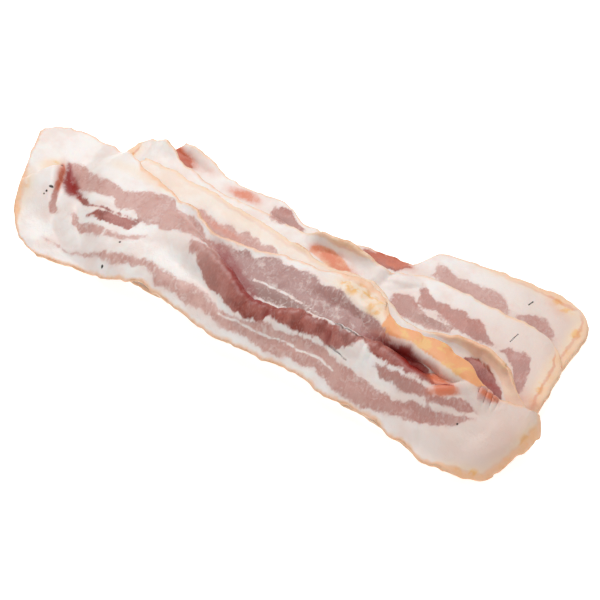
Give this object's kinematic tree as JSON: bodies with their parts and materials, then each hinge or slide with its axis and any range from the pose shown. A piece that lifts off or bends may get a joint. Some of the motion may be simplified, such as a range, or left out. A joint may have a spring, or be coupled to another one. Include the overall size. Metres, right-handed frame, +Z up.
{
  "type": "bacon rasher stack",
  "caption": "Raw streaky bacon rashers lying shingled and clinging together in one long, gently folded stack.",
  "frame": {"origin": "middle of the underside, at the centre of the stack's length and width", "axes": "+X along the rashers, +Y towards the rear edges of the lower rashers, +Z up"},
  "size_m": [0.2552, 0.1009, 0.0205],
  "materials": {
    "bacon_bottom": "raw bacon, moist satin, pale fat with pink lean streaks",
    "bacon_third": "raw bacon, moist satin, pale fat with pink lean streaks",
    "bacon_second": "raw bacon, moist satin, cream fat with a tan smoked rim",
    "bacon_top": "raw bacon, moist satin, pale fat with red and mauve lean streaks"
  },
  "bodies": {
    "root": {"rasher_bottom": "bacon_bottom", "rasher_third": "bacon_third", "rasher_second": "bacon_second", "rasher_top": "bacon_top"}
  },
  "joints": []
}
